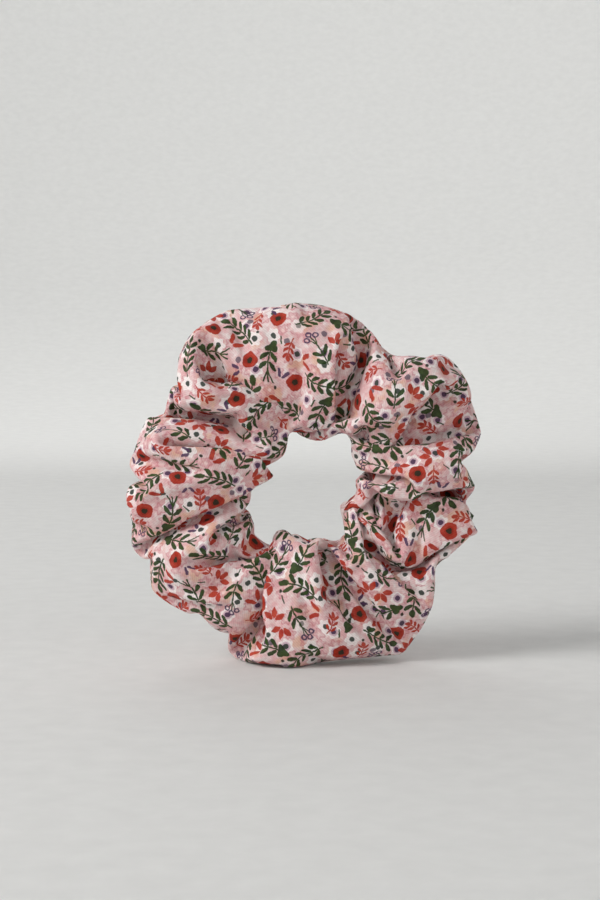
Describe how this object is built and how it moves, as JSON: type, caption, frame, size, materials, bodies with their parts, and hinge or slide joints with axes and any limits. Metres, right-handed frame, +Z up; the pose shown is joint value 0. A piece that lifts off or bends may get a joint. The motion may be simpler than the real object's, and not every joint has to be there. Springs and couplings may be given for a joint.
{
  "type": "scrunchie",
  "caption": "Gathered cloth hair scrunchie: a puffed ring of printed cotton round a sewn loop of flat elastic, which stretches open.",
  "frame": {"origin": "middle of the outline at table height, below the hair opening", "axes": "+Z up, +X across the ring the way it stretches, +Y from its front to its back, through the hair opening"},
  "size_m": [0.1142, 0.0376, 0.1148],
  "materials": {
    "cover_cloth": "matt printed cotton",
    "elastic_braid": "matt braid",
    "white_thread": "slight sheen",
    "pink_thread": "slight sheen"
  },
  "bodies": {
    "held_side": {"cover_held_half": "cover_cloth", "side_seam_held_half": "pink_thread", "elastic_band": "elastic_braid", "elastic_join_thread": "white_thread"},
    "pulled_side": {"cover_pulled_half": "cover_cloth", "side_seam_pulled_half": "pink_thread", "closing_seam_thread": "pink_thread"}
  },
  "joints": [
    {"name": "stretch", "type": "slide", "parent": "held_side", "child": "pulled_side", "axis": [1, 0, 0], "range_m": [0, 0.08], "stiffness_N_per_m": 50, "deforming": ["elastic_band"]}
  ]
}
